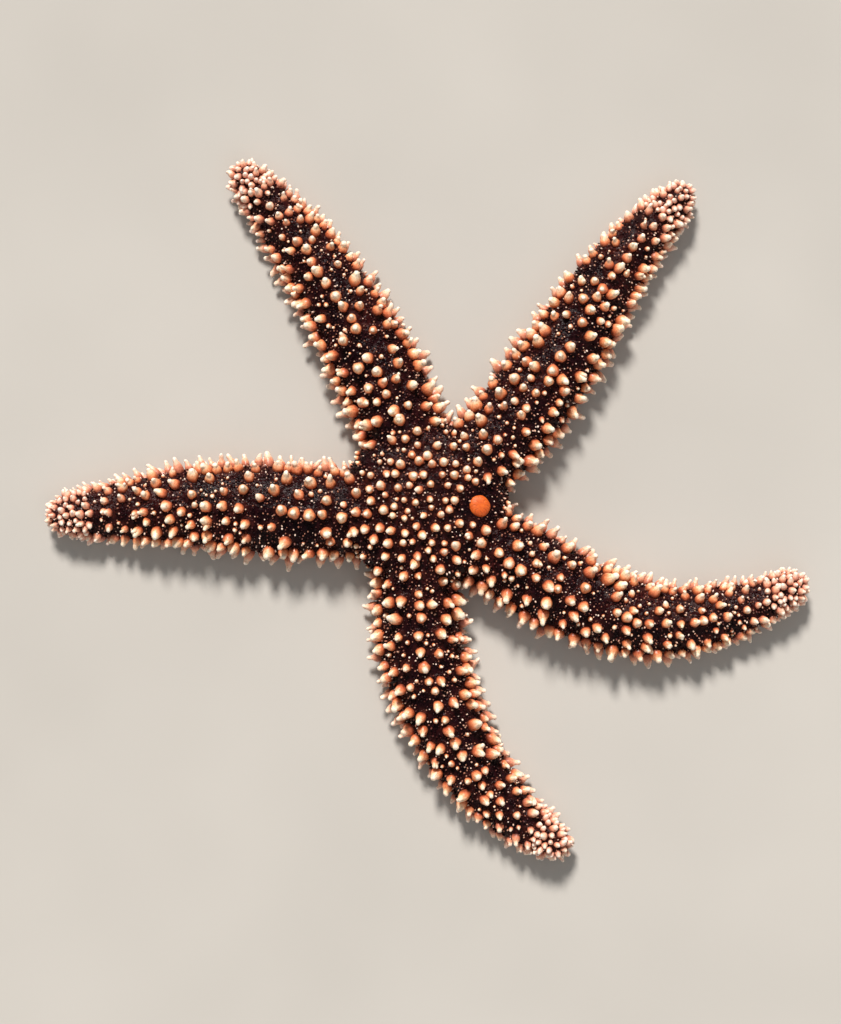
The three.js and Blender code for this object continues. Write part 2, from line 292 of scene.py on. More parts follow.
def arm_solid(arm):
    """The arm's flesh as one closed tube, with its rings turned so that its faces point out."""
    straight = np.linspace(0, arm.length - TIP_ROUND, ARM_RINGS)
    curve = np.sin(np.linspace(0, np.pi / 2, TIP_RINGS)[1:])
    stations = np.concatenate([straight, arm.length - TIP_ROUND + TIP_ROUND * TIP_CLOSING * curve])
    degrees = np.arange(RING_SIDES) * 360 / RING_SIDES
    along, around = np.meshgrid(stations, degrees, indexing="ij")
    return arm.surface(along, around)[:, ::-1].reshape(-1, 3), len(stations), RING_SIDES


def dome_height(radius):
    return DISC_HEIGHT - DISC_FALL * (radius / DISC_SHOULDER) ** 2


def disc_solid():
    """The disc's flesh: a low dome with round shoulders and a flat underside."""
    low = UNDERSIDE_SHARE * DISC_MARGIN_HEIGHT
    turn = np.radians(np.linspace(0, 90, SHOULDER_RINGS))
    shoulder = DISC_SHOULDER + (DISC_RADIUS - DISC_SHOULDER) * np.cos(turn)
    rise = DISC_MARGIN_HEIGHT + (dome_height(DISC_SHOULDER) - DISC_MARGIN_HEIGHT) * np.sin(turn)
    inward = np.linspace(DISC_SHOULDER, DISC_HUB, DOME_RINGS)[1:]
    radius = np.concatenate([[DISC_HUB, DISC_RADIUS - DISC_FOOT_INSET], shoulder, inward])
    height = np.concatenate([[low, low], rise, dome_height(inward)])
    return turned(radius, height, RING_SIDES) + DISC_CENTRE, len(radius), RING_SIDES


def joined_flesh():
    """The arms and the disc as one closed surface of small even faces."""
    points, loops, totals = [], [], []
    count = 0
    for solid, rows, columns in [disc_solid()] + [arm_solid(arm) for arm in ARMS]:
        corners, sizes = tube_faces(rows, columns)
        points.append(solid)
        loops.append(corners + count)
        totals.append(sizes)
        count += len(solid)
    rough = make_object("rough", np.vstack(points), np.concatenate(loops), np.concatenate(totals))
    remesh = rough.modifiers.new("remesh", "REMESH")
    remesh.mode = "VOXEL"
    remesh.voxel_size = VOXEL * MM
    graph = bpy.context.evaluated_depsgraph_get()
    mesh = bpy.data.meshes.new_from_object(rough.evaluated_get(graph))
    bpy.data.objects.remove(rough)
    return mesh


def read(things, name):
    numbers = np.empty(len(things) * 3, np.float32)
    things.foreach_get(name, numbers)
    return numbers.reshape(-1, 3).astype(float)


def read_points(mesh):
    return read(mesh.vertices, "co") / MM


def read_normals(mesh):
    return read(mesh.vertex_normals, "vector")


def write_points(mesh, points):
    mesh.vertices.foreach_set("co", (points * MM).astype(np.float32).ravel())
    mesh.update()


def relax(mesh, points, rounds):
    """Moves each point half way to the middle of its neighbours."""
    edges = np.empty(len(mesh.edges) * 2, np.int32)
    mesh.edges.foreach_get("vertices", edges)
    a, b = edges.reshape(-1, 2).T
    share = np.bincount(np.concatenate([a, b]), minlength=len(points))[:, None]
    for _ in range(rounds):
        total = np.zeros_like(points)
        np.add.at(total, a, points[b])
        np.add.at(total, b, points[a])
        points = lerp(points, total / share, 0.5)
    return points


def groove_narrowing(along, length):
    return 1 - GROOVE_NARROWING * (along / length) ** 2


def press_underside(points, normals):
    """Presses the groove of each arm and the mouth up into the flat underside."""
    under = np.flatnonzero((normals[:, 2] < UNDER_SLOPE) & (points[:, 2] < UNDER_HEIGHT))
    _, along, across, _ = locate(points[under])
    radius = norm(points[under, :2] - DISC_CENTRE[:2], axis=1)
    narrowing = groove_narrowing(along, ARM_LENGTHS.mean())
    reach = GROOVE_HALF_WIDTH * narrowing
    groove = GROOVE_DEPTH * narrowing * (1 - ease(*GROOVE_WALL, np.abs(across) / reach))
    mouth = MOUTH_DEPTH * (1 - ease(*(MOUTH_RADIUS + wall for wall in MOUTH_WALL), radius))
    pressed = points.copy()
    pressed[under, 2] += np.maximum(groove, mouth)
    return pressed


# ---------------- where things grow


class Roots:
    """Places already taken on the skin, each with the radius of what stands there."""

    def __init__(self):
        self.points = np.zeros((0, 3))
        self.radii = np.zeros(0)

    def settle(self, points, radii, room):
        """Takes the places that are free, in order, and says which they were."""
        kept = []
        for index, (point, radius) in enumerate(zip(points, radii)):
            gaps = norm(self.points - point, axis=1)
            if np.all(gaps > room * (self.radii + radius)):
                self.points = np.vstack([self.points, point])
                self.radii = np.append(self.radii, radius)
                kept.append(index)
        return np.array(kept, int)


class Skin:
    """The skin's surface, to find places on it."""

    def __init__(self, mesh):
        mesh.calc_loop_triangles()
        corners = np.empty(len(mesh.loop_triangles) * 3, np.int32)
        mesh.loop_triangles.foreach_get("vertices", corners)
        self.triangles = corners.reshape(-1, 3)
        self.points = read_points(mesh)
        self.normals = read_normals(mesh)
        self.tree = BVHTree.FromPolygons(self.points.tolist(), self.triangles.tolist())

    def onto(self, points):
        """The nearest place on the skin to each point, and how far it is."""
        found = [self.tree.find_nearest(Vector(point)) for point in points]
        places = np.array([spot[0] for spot in found])
        distances = np.array([spot[3] for spot in found])
        return places, distances

    def scatter(self, random, count):
        """Random places spread evenly over the skin, with the normals there."""
        a, b, c = (self.points[self.triangles[:, i]] for i in range(3))
        area = norm(np.cross(b - a, c - a), axis=1)
        chosen = random.choice(len(area), size=count, p=area / area.sum())
        u, v = random.random(count), random.random(count)
        flip = u + v > 1
        u, v = np.where(flip, 1 - u, u), np.where(flip, 1 - v, v)
        weights = np.stack([1 - u - v, u, v], axis=1)[..., None]
        places = (self.points[self.triangles[chosen]] * weights).sum(axis=1)
        normals = (self.normals[self.triangles[chosen]] * weights).sum(axis=1)
        return places, unit(normals)


class Growths:
    """Small things that stand on the skin: roots, directions, sizes and shapes, one of each per thing."""

    FIELDS = ["root", "axis", "length", "radius", "nub", "shoulder", "pale"]

    def __init__(self, **fields):
        count = len(fields["root"])
        for field in self.FIELDS:
            value = fields.get(field, 0.0)
            width = (count, 3) if field in ("root", "axis") else (count,)
            setattr(self, field, np.broadcast_to(np.asarray(value, float), width).copy())

    def __len__(self):
        return len(self.root)

    def pick(self, which):
        return Growths(**{field: getattr(self, field)[which] for field in self.FIELDS})

    def __add__(self, other):
        both = {f: np.concatenate([getattr(self, f), getattr(other, f)]) for f in self.FIELDS}
        return Growths(**both)


TILT_SPREAD = 0.7


def tilted(axes, random, degrees):
    """The directions, each leaning at random by about this many degrees."""
    return unit(axes + np.tan(np.radians(degrees)) * random.normal(0, TILT_SPREAD, axes.shape))


# Forms of spines: how many degrees they stray, and ranges of their nubs' width and their shoulders' height.
LARGE_FORM = (13, (0.4, 0.56), (0.54, 0.84))
SMALL_FORM = (12, (0.45, 0.65), (0.7, 0.92))
DISC_FORM = (11, (0.45, 0.6), (0.66, 0.86))

# Rows of large spines along each arm: angle, pitch, offset, length, radius, upward lean, paleness.
SPINE_ROWS = [
    (23, 2.55, 0.0, 2.6, 1.12, 12, 0.0),
    (1, 2.95, 0.5, 2.9, 0.98, 3, 0.55),
    (-19, 2.95, 0.0, 2.2, 0.8, 8, 0.8),
    (90, 2.95, 0.3, 2.3, 1.06, 0, 0.0),
    (47, 4.1, 0.2, 2.7, 1.05, 0, 0.0),
    (68, 5.6, 0.7, 2.5, 1.0, 0, 0.0),
]
RIDGE = 90
DORSAL_ABOVE = 30
FRINGE_BELOW = 10
ROW_ROOM = 0.86
ROWS_FROM = 10.0

# On the margin and elsewhere: the share of a row that's missing, and how many degrees the rest stray.
MARGIN_RISE = 0.5
OMITTED = {True: 0.03, False: 0.12}
STRAY_ANGLE = {True: 2.4, False: 4.4}
RIDGE_STRAY = 2.2

# The rest of a large spine's place and form. Shares are of the row's pitch, the arm or the spine.
STRAY_ALONG = 0.11
ROW_END = 0.8
SQUEEZE = 0.36
TIP_STEP = 0.6
TIP_PITCH = 0.62
TIP_END = 0.6
LAST_PLACE = 0.5
LEAN_OUT = (7.0, 24.0)
LEANING_OVER = (0.3, 0.85)
SIZE_SPREAD = 0.12
SIZE_LIMITS = (-1.6, 1.4)
TIP_LOSS = 0.42
INNER_SIZE = 0.82
FULL_SIZE_AT = (10, 22)
LENGTH_SPREAD = 0.08
TIP_SHOULDER = 0.08
NEAR_TIP = (0.75, 0.95)
TIP_PALE = 0.7
PALE_OVER = (20, 3)
BURIED = 0.8

# Marginal rows' spacing on each arm's left and right edge, as a share of their pitch.
EDGE_PITCHES = [(0.88, 1.0), (1.12, 1.0), (1.0, 0.78), (1.0, 0.9), (1.1, 1.0)]


def row_of_spines(skin, arm, degrees, pitch, offset, length, radius, lean, pale, random):
    """Candidates for one row, in order from the disc to the tip."""
    along = np.arange(ROWS_FROM + offset * pitch, arm.length - ROW_END, pitch)
    squeeze = 1 - SQUEEZE * (along / arm.length) ** 3
    along = np.cumsum(np.concatenate([[along[0]], np.diff(along) * squeeze[1:]]))
    more = np.arange(along[-1] + pitch * TIP_STEP, arm.length - TIP_END, pitch * TIP_PITCH)
    along = np.concatenate([along, more])
    marginal = bool(np.sin(np.radians(degrees)) < MARGIN_RISE)
    along = along[random.random(len(along)) > OMITTED[marginal]]
    stray = STRAY_ALONG * pitch * random.normal(0, 1, len(along))
    stray_angle = RIDGE_STRAY if degrees == RIDGE else STRAY_ANGLE[marginal]
    angle = degrees + stray_angle * random.normal(0, 1, len(along))
    along = np.clip(along + stray, 0, arm.length - LAST_PLACE)
    start = arm.surface(along, angle)
    axis = arm.outward(along, angle)
    axis = unit(axis + np.tan(np.radians(lean)) * np.array([0, 0, 1.0]))
    gone = along / arm.length
    lean_out = lerp(*LEAN_OUT, ease(*LEANING_OVER, gone))
    axis = unit(axis + np.tan(np.radians(lean_out))[:, None] * arm.heading(along))
    size = 1 + SIZE_SPREAD * random.normal(0, 1, len(along)).clip(*SIZE_LIMITS)
    size *= 1 - TIP_LOSS * gone**4
    size *= lerp(INNER_SIZE, 1.0, ease(*FULL_SIZE_AT, along))
    root, distance = skin.onto(start)
    strays, nubs, shoulders = LARGE_FORM
    row = Growths(
        root=root,
        axis=tilted(axis, random, strays),
        length=length * size * (1 + LENGTH_SPREAD * random.normal(0, 1, len(along))),
        radius=radius * size,
        nub=random.uniform(*nubs, len(along)),
        shoulder=random.uniform(*shoulders, len(along)) + TIP_SHOULDER * ease(*NEAR_TIP, gone),
        pale=pale + TIP_PALE * ease(*(arm.length - gap for gap in PALE_OVER), along),
    )
    return row.pick(distance < BURIED)


TWIN_SHARE = 0.09
TWIN_SPREAD = 26.0
TWIN_LENGTH = 0.9
TWIN_RADIUS = 0.78
TWIN_RISE = 0.2


def twins(things, random):
    """A second, smaller spine that grows from the root of some of the things."""
    chosen = things.pick(random.random(len(things)) < TWIN_SHARE)
    chosen.axis = tilted(chosen.axis, random, TWIN_SPREAD)
    chosen.length *= TWIN_LENGTH
    chosen.radius *= TWIN_RADIUS
    chosen.root += chosen.axis * TWIN_RISE
    return chosen


def large_spines(skin, taken, random):
    """The rows of spines on every arm: marginal ones first, as nothing displaces them."""
    marginal, fringe, dorsal = [], [], []
    for row, (arm, edges) in product(SPINE_ROWS, list(zip(ARMS, EDGE_PITCHES))):
        degrees, pitch, offset, length, radius, lean, pale = row
        on_back = degrees > DORSAL_ABOVE
        rows = dorsal if on_back else marginal if degrees > FRINGE_BELOW else fringe
        for side, share in zip([degrees] if degrees == RIDGE else [degrees, 180 - degrees], edges):
            share = 1.0 if on_back else share
            width = radius * lerp(1.0, share, 0.5)
            form = (side, pitch * share, offset, length, width, lean, pale)
            things = row_of_spines(skin, arm, *form, random)
            rows.append(things.pick(taken.settle(things.root, things.radius, ROW_ROOM)))
    marginal, fringe, dorsal = (sum(rows[1:], rows[0]) for rows in (marginal, fringe, dorsal))
    return marginal, fringe, dorsal + twins(dorsal, random)


UPPER_SLOPE = -0.15
UPPER_HEIGHT = 1.6


def upper_places(skin, random, count):
    """Random places on the back and the flanks, and not under the arms, with the normals there."""
    places, normals = skin.scatter(random, count)
    upper = (normals[:, 2] > UPPER_SLOPE) & (places[:, 2] > UPPER_HEIGHT)
    return places[upper], normals[upper]


# Spines between the rows: places tried, length in radii, range of radii, room, and how near a tip.
SCATTERS = [
    (60000, 2.3, (0.5, 0.66), 0.84, 8),
    (600, 2.2, (0.58, 0.88), 1.3, None),
    (2400, 2.0, (0.3, 0.56), 1.3, None),
]
SHRINK = 0.38
SHRINK_POWER = 2.6
SMALL_LENGTHS = (0.85, 1.15)
SMALL_PALE_OVER = (3, 18)


def scattered_spines(skin, taken, random, count, length, radius, room, near_tip):
    """Spines at random places between the rows, or only as near the tips as near_tip says."""
    places, normals = upper_places(skin, random, count)
    arm_of, along, _, _ = locate(places)
    to_tip = ARM_LENGTHS[arm_of] - along
    if near_tip is not None:
        close = to_tip < near_tip
        places, normals, to_tip = places[close], normals[close], to_tip[close]
    size = random.uniform(*radius, len(places))
    if near_tip is None:
        size *= 1 - SHRINK * np.clip(along / ARM_LENGTHS[arm_of], 0, 1) ** SHRINK_POWER
    kept = taken.settle(places, size, room)
    size = size[kept]
    strays, nubs, shoulders = SMALL_FORM
    return Growths(
        root=places[kept],
        axis=tilted(normals[kept], random, strays),
        length=length * size * random.uniform(*SMALL_LENGTHS, len(kept)),
        radius=size,
        nub=random.uniform(*nubs, len(kept)),
        shoulder=random.uniform(*shoulders, len(kept)),
        pale=1 - ease(*SMALL_PALE_OVER, to_tip[kept]),
    )


DISC_SPINES = 84
DISC_SPACING = 1.4
DISC_START = 0.4
DISC_STRAY = 0.32
DISC_SIZES = (0.68, 0.92)
DISC_SPREAD = (0.76, 1.14)
DISC_ROOM = 0.98
DISC_LENGTH = 2.3
# The disc's spines fan out from a point so far below its centre, with their places scaled by these shares.
DISC_FAN_DEPTH = 22.0
DISC_FAN = np.array([1, 1, 1.2])
GOLDEN_ANGLE = np.pi * (3 - np.sqrt(5))
SIEVE_AT = np.array([10.8, 0.1])
SIEVE_RADIUS = 2.15
SIEVE_ROOM = 0.2


def disc_spines(skin, taken, random):
    """The disc's spines: smaller than the arms', in a loose spiral with no rows."""
    number = np.arange(DISC_SPINES)
    radius = DISC_SPACING * np.sqrt(number + DISC_START)
    angle = number * GOLDEN_ANGLE
    place = np.stack([radius * np.cos(angle), radius * np.sin(angle), dome_height(radius)], axis=1)
    place[:, :2] += DISC_STRAY * random.normal(0, 1, (DISC_SPINES, 2))
    place += DISC_CENTRE
    root, _ = skin.onto(place)
    axis = unit((place - DISC_CENTRE) * DISC_FAN + np.array([0, 0, DISC_FAN_DEPTH]))
    size = lerp(*DISC_SIZES, radius / DISC_SHOULDER) * random.uniform(*DISC_SPREAD, DISC_SPINES)
    kept = taken.settle(root, size, DISC_ROOM)
    strays, nubs, shoulders = DISC_FORM
    return Growths(
        root=root[kept],
        axis=tilted(axis[kept], random, strays),
        length=DISC_LENGTH * size[kept],
        radius=size[kept],
        nub=random.uniform(*nubs, len(kept)),
        shoulder=random.uniform(*shoulders, len(kept)),
    )


# ---------------- growing them

# Profiles: a thing's radius at each share of its length, as a share of its greatest.
WIDEST = 0.2
FOOT_NARROWING = 0.12
NUB_END = 0.82
NUB_FLARE = 0.3
BLENDING = 3.5
FINGER_END = 0.55
STALK = 0.62
STALK_RIPPLE = 0.05
RIPPLES = 40
SUCKER = (0.8, 0.9)


def round_end(heights, start):
    return np.sqrt(np.clip(1 - ((heights - start) / (1 - start)) ** 2, 0, 1))


def spine_profile(heights, things):
    """A round body with a narrower blunt nub at its top."""
    h = heights[None, :]
    falling = np.sqrt(np.clip(1 - ((h - WIDEST) / (things.shoulder[:, None] - WIDEST)) ** 2, 0, 1))
    body = np.where(h < WIDEST, 1 - FOOT_NARROWING * ((WIDEST - h) / WIDEST) ** 2, falling)
    top = things.nub[:, None] * np.where(h < NUB_END, 1 + NUB_FLARE * (NUB_END - h), round_end(h, NUB_END))
    return (body**BLENDING + top**BLENDING) ** (1 / BLENDING)


def finger_profile(heights, _):
    """A soft finger with a round end."""
    return np.where(heights < FINGER_END, 1.0, round_end(heights, FINGER_END))[None]


def foot_profile(heights, _):
    """A ringed stalk with a sucker at its end."""
    stalk = STALK + STALK_RIPPLE * np.cos(heights * RIPPLES)
    return lerp(stalk, 1.0, ease(*SUCKER, heights))[None]


LARGE_HEIGHTS = [-0.12, 0.06, 0.22, 0.37, 0.5, 0.62, 0.73, 0.83, 0.91, 0.97]
SMALL_HEIGHTS = [-0.12, 0.1, 0.3, 0.5, 0.66, 0.8, 0.94]
FINGER_HEIGHTS = [-0.2, 0.4, 0.85]
FOOT_HEIGHTS = [-0.1, 0.1, 0.2, 0.3, 0.4, 0.5, 0.6, 0.7, 0.8, 0.86, 0.92, 1.0]

# How uneven the things are: the rings' lobes, which fade upwards, the bend, and a spine's lumpy top.
LOBES = 0.07
LOBE_COUNTS = (3, 5)
SECOND_LOBES = 0.7
FADING_FROM = 1.1
FADED = 0.2
BEND = 0.14
FOOT_BEND = 0.05
CROWN = 0.2
CROWN_OVER = (0.45, 0.8)

# Steeper axes have their spokes set out from the x axis, and the others from the vertical.
UPRIGHT = 0.9

# The bake map: one strip for each arm, with the way out across it and the way round up it.
STRIP_LENGTH = 82.0
STRIP_MARGIN = 0.006

# Kinds of thing: heights of its rings, its sides, its profile, and its patch of the bake map.
LARGE = (LARGE_HEIGHTS, 14, spine_profile, (0.02, 0.009))
DORSAL = (LARGE_HEIGHTS, 16, spine_profile, (0.02, 0.009))
SMALL = (SMALL_HEIGHTS, 12, spine_profile, (0.009, 0.0036))
GROOVE = (SMALL_HEIGHTS, 8, spine_profile, (0.009, 0.0036))
SPECK = (FINGER_HEIGHTS, 5, finger_profile, (0.004, 0.002))
FOOT = (FOOT_HEIGHTS, 8, foot_profile, (0.009, 0.0036))


def strip_place(roots):
    """The start of each root's patch, in its arm's strip."""
    arm_of, along, _, angle = locate(roots)
    around = ((angle + 90) % 360) / 360
    u = STRIP_MARGIN + (1 - 4 * STRIP_MARGIN) * along / STRIP_LENGTH
    v = (arm_of + STRIP_MARGIN + (1 - 2 * STRIP_MARGIN) * around) / len(ARMS)
    return u, v


def ring_points(things, heights, sides, profile, random, lobes, bend, crown):
    """Rings of points round each thing's bent line, with a point at its top."""
    count = len(things)
    upright = np.abs(things.axis[:, 2:3]) > UPRIGHT
    across = unit(np.cross(np.where(upright, [[1.0, 0, 0]], [[0, 0, 1.0]]), things.axis))
    other = np.cross(things.axis, across)
    turn = random.uniform(0, 2 * np.pi, (count, 1)) + 2 * np.pi * np.arange(sides)[None] / sides
    phase = random.uniform(0, 2 * np.pi, (count, 2))
    few, many = LOBE_COUNTS
    wave = np.cos(few * turn + phase[:, :1]) + SECOND_LOBES * np.cos(many * turn + phase[:, 1:])
    fading = np.clip(FADING_FROM - heights, FADED, 1)
    radius = things.radius[:, None] * profile(heights, things)
    radius = radius[:, :, None] * (1 + lobes * fading[None, :, None] * wave[:, None, :])
    lumps = random.uniform(-1, 1, radius.shape)
    radius *= 1 + crown * lumps * ease(*CROWN_OVER, heights)[None, :, None]
    way = random.uniform(0, 2 * np.pi, count)[:, None]
    swing = bend * random.normal(0, 1, count) * things.length
    sideways = swing[:, None] * (across * np.cos(way) + other * np.sin(way))

    def bent_line(height):
        rise = (things.length[:, None] * height)[..., None] * things.axis[:, None]
        curve = (np.clip(height, 0, 1) ** 2)[None, :, None] * sideways[:, None]
        return things.root[:, None] + rise + curve

    turn = turn[:, None, :, None]
    spokes = across[:, None, None] * np.cos(turn) + other[:, None, None] * np.sin(turn)
    rings = bent_line(heights)[:, :, None] + spokes * radius[..., None]
    points = np.concatenate([rings.reshape(count, -1, 3), bent_line(np.ones(1))], axis=1)
    points[..., 2] = np.maximum(points[..., 2], 0)
    return points


def ring_faces(count, rings, sides):
    """The faces of each thing: quads, a fan of triangles at the top, and the foot."""
    each = rings * sides + 1
    side = np.arange(sides)
    last = (rings - 1) * sides
    fan = np.stack([last + side, last + (side + 1) % sides, np.full(sides, each - 1)], axis=-1)
    corners = np.concatenate([quads_between(rings, sides), fan.ravel(), side[::-1]])
    totals = np.concatenate([np.full(last, 4), np.full(sides, 3), [sides]])
    return (corners[None] + each * np.arange(count)[:, None]).ravel(), np.tile(totals, count)


def add_bake_map(made, roots, heights, sides, patch):
    """The bake map: each thing has a patch, with its height across it and the way round it up it."""
    side = np.arange(sides)
    near, far = side / sides, (side + 1) / sides
    reach = (heights - heights[0]) / (1 - heights[0])
    low, high = reach[:-1], reach[1:]
    quad_u = np.repeat(np.stack([low, low, high, high], axis=-1)[:, None], sides, axis=1)
    quad_v = np.tile(np.stack([near, far, far, near], axis=-1).ravel(), len(low))
    fan_u = np.tile([high[-1], high[-1], 1.0], sides)
    fan_v = np.stack([near, far, (near + far) / 2], axis=-1)
    patch_u = np.concatenate([quad_u.ravel(), fan_u, np.zeros(sides)]) * patch[0]
    patch_v = np.concatenate([quad_v, fan_v.ravel(), near[::-1]]) * patch[1]
    u, v = strip_place(roots)
    uv = np.stack([u[:, None] + patch_u, v[:, None] + patch_v], axis=-1)
    layer = made.data.uv_layers.new(name="OFBake")
    layer.data.foreach_set("uv", uv.astype(np.float32).ravel())


def grow(name, things, kind, random, lobes=LOBES, bend=BEND, crown=0.0):
    """One mesh of all the things."""
    heights, sides, profile, patch = kind
    heights = np.asarray(heights)
    points = ring_points(things, heights, sides, profile, random, lobes, bend, crown)
    made = make_object(name, points.reshape(-1, 3), *ring_faces(len(things), len(heights), sides))
    level = np.append(np.repeat(np.clip(heights, 0, 1), sides), 1.0)
    chance, pale = (np.repeat(v, len(level)) for v in (random.random(len(things)), things.pale))
    add_values(made, along=np.tile(level, len(things)), chance=chance, pale=pale)
    add_bake_map(made, things.root, heights, sides, patch)
    return made


# ---------------- the parts

# Where the pads start, and the slopes and distances over which the skin's lumps and colours change.
PAD_FROM = 0.6
BACK_SLOPES = (-0.6, 0.1)
UNDER_SLOPES = (-0.55, -0.1)
# The mouth's colour darkens over these distances: painted shade for the mouth's opening.
MOUTH_SHADE = (0.3 * MOUTH_RADIUS, 0.85 * MOUTH_RADIUS)
PAD_SHADE = (0.9, 2.2)


def build_skin(random):
    """The skin with its spine pads and fine lumps, and the large spines that the pads are for."""
    mesh = joined_flesh()
    points = relax(mesh, read_points(mesh), SMOOTHING_ROUNDS)
    write_points(mesh, points)
    points = press_underside(points, read_normals(mesh))
    points = relax(mesh, points, 1)
    write_points(mesh, points)
    plain = Skin(mesh)
    taken = Roots()
    sieve_root, _ = plain.onto([DISC_CENTRE + [*SIEVE_AT, dome_height(norm(SIEVE_AT))]])
    taken.settle(sieve_root, [SIEVE_RADIUS + SIEVE_ROOM], 1.0)
    marginal, fringe, dorsal = large_spines(plain, taken, random)
    disc = disc_spines(plain, taken, random)

    roots = (marginal + fringe + dorsal + disc).root
    gap = np.empty(len(points))
    for part in batches(len(points)):
        gap[part] = norm(points[part, None] - roots[None], axis=2).min(axis=1)
    pads = PAD_HEIGHT * (1 - ease(PAD_FROM, PAD_REACH, gap))
    lumps = np.zeros(len(points))
    for wavelength, depth in BUMPS:
        lumps += depth * np.array([noise.noise(Vector(p) / wavelength) for p in points])
    normals = read_normals(mesh)
    on_back = ease(*BACK_SLOPES, normals[:, 2])
    points += normals * ((pads + lumps) * on_back)[:, None]
    write_points(mesh, points)
    under = 1 - ease(*UNDER_SLOPES, normals[:, 2])
    mesh.name = "skin"
    mesh.polygons.foreach_set("use_smooth", np.ones(len(mesh.polygons), bool))
    skin = add_object("skin", mesh)
    from_mouth = norm((points - DISC_CENTRE)[:, :2], axis=1)
    # The mouth mask darkens the belly round the mouth: painted shade for the mouth's opening.
    mouth = under * (1 - ease(*MOUTH_SHADE, from_mouth))
    add_values(skin, under=under, mouth=mouth, pad=1 - ease(*PAD_SHADE, gap))
    return skin, taken, marginal, fringe, dorsal, disc, sieve_root[0]


# Furrows: how many, and between which shares of the plate's radius they deepen.
FURROWS = [(8, 0.16, 0.5), (16, 0.36, 0.66), (32, 0.56, 0.84)]
FURROW_DEPTH = 0.045
FURROW_WIDTH = 0.5
SIEVE_RIM = (0.9, 1.0)
SIEVE_DOME = 0.95
DOME_POWER = 2.3
SIEVE_SUNK = 0.15
SIEVE_DEPTH = 0.8
SIEVE_RINGS = 32
SIEVE_SIDES = 192
SIEVE_HUB = 0.01


def build_sieve(root):
    """The sieve plate: a low round button with fine furrows that branch on their way out."""
    tilt = unit(np.array([*(2 * DISC_FALL * SIEVE_AT / DISC_SHOULDER**2), 1.0]))
    across = unit(np.cross([0, 1.0, 0], tilt))
    other = np.cross(tilt, across)
    shares = np.linspace(1, SIEVE_HUB, SIEVE_RINGS)
    turns = 2 * np.pi * np.arange(SIEVE_SIDES) / SIEVE_SIDES
    share, turn = np.meshgrid(shares, turns, indexing="ij")
    radius = SIEVE_RADIUS * share * (1 + 0.04 * np.cos(2 * turn + 1.7) + 0.015 * np.cos(5 * turn))
    wander = turn + 0.2 * np.sin(6 * share + 2 * np.cos(turn))
    furrow = np.zeros_like(share)
    for count, start, end in FURROWS:
        line = 1 - ease(0, FURROW_WIDTH, np.abs(np.sin(count * wander / 2)))
        furrow = np.maximum(furrow, line * ease(start, end, share))
    furrow *= 1 - ease(*SIEVE_RIM, share)
    dome = SIEVE_DOME * np.sqrt(np.clip(1 - share**DOME_POWER, 0, 1))
    rise = dome - FURROW_DEPTH * furrow - SIEVE_SUNK
    local = radius * np.cos(turn), radius * np.sin(turn), rise
    top = sum(part[..., None] * way for part, way in zip(local, (across, other, tilt))) + root
    points = np.concatenate([top[:1] - tilt * SIEVE_DEPTH, top]).reshape(-1, 3)
    sieve = make_object("sieve_plate", points, *tube_faces(SIEVE_RINGS + 1, SIEVE_SIDES))
    # The furrow mask also darkens the plate's colour in the furrows, as painted shade.
    add_values(sieve, furrow=np.concatenate([np.zeros(SIEVE_SIDES), furrow.ravel()]))
    return sieve


# The specks: places tried, the room between them, and the sizes and leanings of pincers and gills.
SPECK_TRIES = 50000
SPECK_ROOM = 0.45
PINCERS = 6300
PINCER_WIDTHS = (0.11, 0.21)
PINCER_LENGTHS = (1.8, 3.2)
PINCER_LEAN = 16
GILL_WIDTHS = (0.14, 0.24)
GILL_LENGTHS = (0.22, 0.46)
GILL_LEAN = 14


def speck_places(skin, taken, random):
    """Free places on the back and flanks for the finest things."""
    places, normals = upper_places(skin, random, SPECK_TRIES)
    clear = np.ones(len(places), bool)
    for part in batches(len(places)):
        gaps = norm(places[part, None] - taken.points[None], axis=2)
        clear[part] = np.all(gaps > taken.radii[None], axis=1)
    places, normals = places[clear], normals[clear]
    cells = {}
    kept = []
    for index, place in enumerate(places):
        key = tuple(np.floor(place / SPECK_ROOM).astype(int))
        around = product(*((number - 1, number, number + 1) for number in key))
        near = [i for cell in around for i in cells.get(cell, ())]
        if all(norm(places[i] - place) > SPECK_ROOM for i in near):
            cells.setdefault(key, []).append(index)
            kept.append(index)
    return places[kept], normals[kept]


def specks(skin, taken, random):
    """The pincers, and the places of the skin gills between them."""
    places, normals = speck_places(skin, taken, random)
    count = min(len(places) // 2, PINCERS)
    width = random.uniform(*PINCER_WIDTHS, count)
    pincers = Growths(
        root=places[:count],
        axis=tilted(normals[:count], random, PINCER_LEAN),
        length=width * random.uniform(*PINCER_LENGTHS, count),
        radius=width,
    )
    return pincers, places[count:], normals[count:]


# Rows of groove spines: distance from the groove's middle, length, radius, start and pitch.
GROOVE_ROWS = [(2.5, 2.1, 0.3, 5.5, 1.15), (4.0, 2.5, 0.42, 6.0, 1.725)]
GROOVE_END = 4
GROOVE_REACH = 0.62
GROOVE_RISE = 0.25
GROOVE_LENGTHS = (0.9, 1.1)
GROOVE_OUT = (0.5, 1.0)
GROOVE_ONWARD = (-0.2, 0.5)
GROOVE_DROPS = (0.1, 0.92)
GROOVE_FORM = {"nub": 0.62, "shoulder": 0.7, "pale": 0.8}


